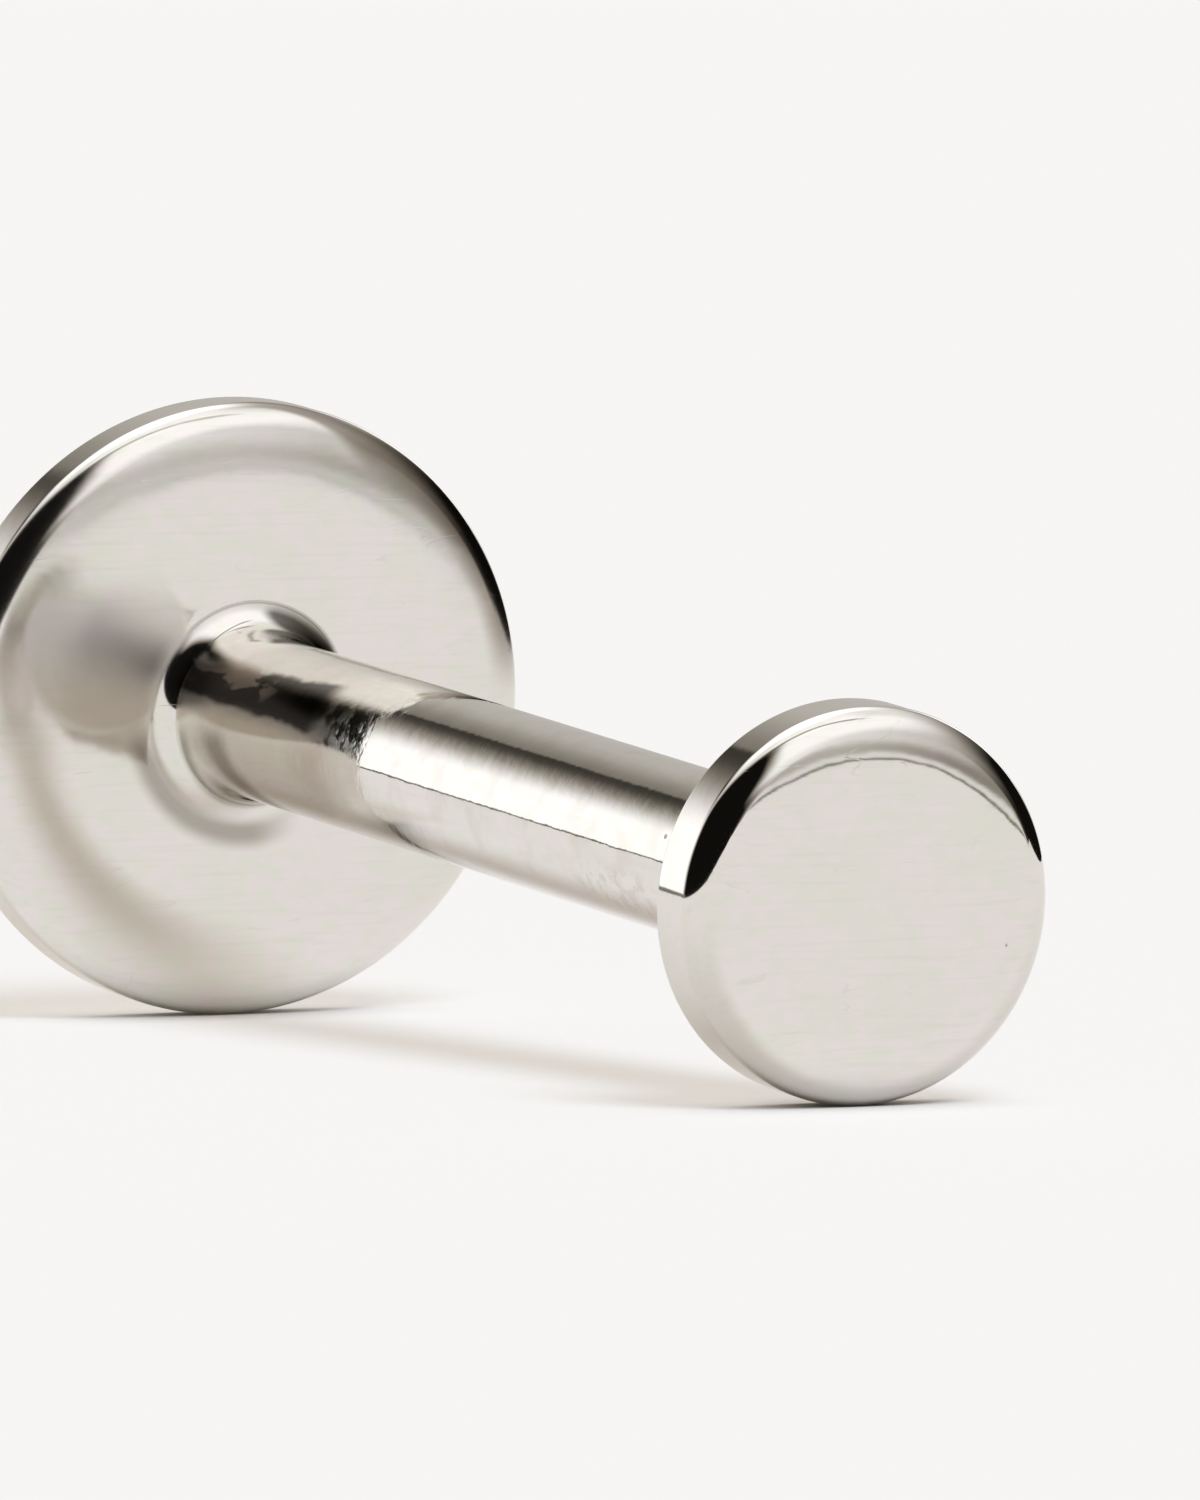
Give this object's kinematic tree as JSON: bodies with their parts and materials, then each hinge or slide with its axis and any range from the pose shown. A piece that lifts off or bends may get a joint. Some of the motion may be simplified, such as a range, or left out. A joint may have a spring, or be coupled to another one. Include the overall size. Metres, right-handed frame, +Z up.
{
  "type": "labret stud",
  "caption": "Body jewellery stud: a polished disc with a rounded edge at each end of a straight round post; the smaller disc pulls off on its pin.",
  "frame": {"origin": "centre of the footprint box, on the surface that the stud lies on", "axes": "+X along the post in plan, from the back disc towards the front disc; +Z up from the surface"},
  "size_m": [0.0092, 0.0038, 0.0038],
  "materials": {
    "polished_metal": "mirror polish with fine handling marks"
  },
  "bodies": {
    "post": {"flat_back_post": "polished_metal"},
    "top": {"front_disc": "polished_metal"}
  },
  "joints": [
    {"name": "top_pull", "type": "slide", "parent": "post", "child": "top", "axis": [0.9967, 0, -0.0817], "range_m": [0, 0.005]}
  ]
}
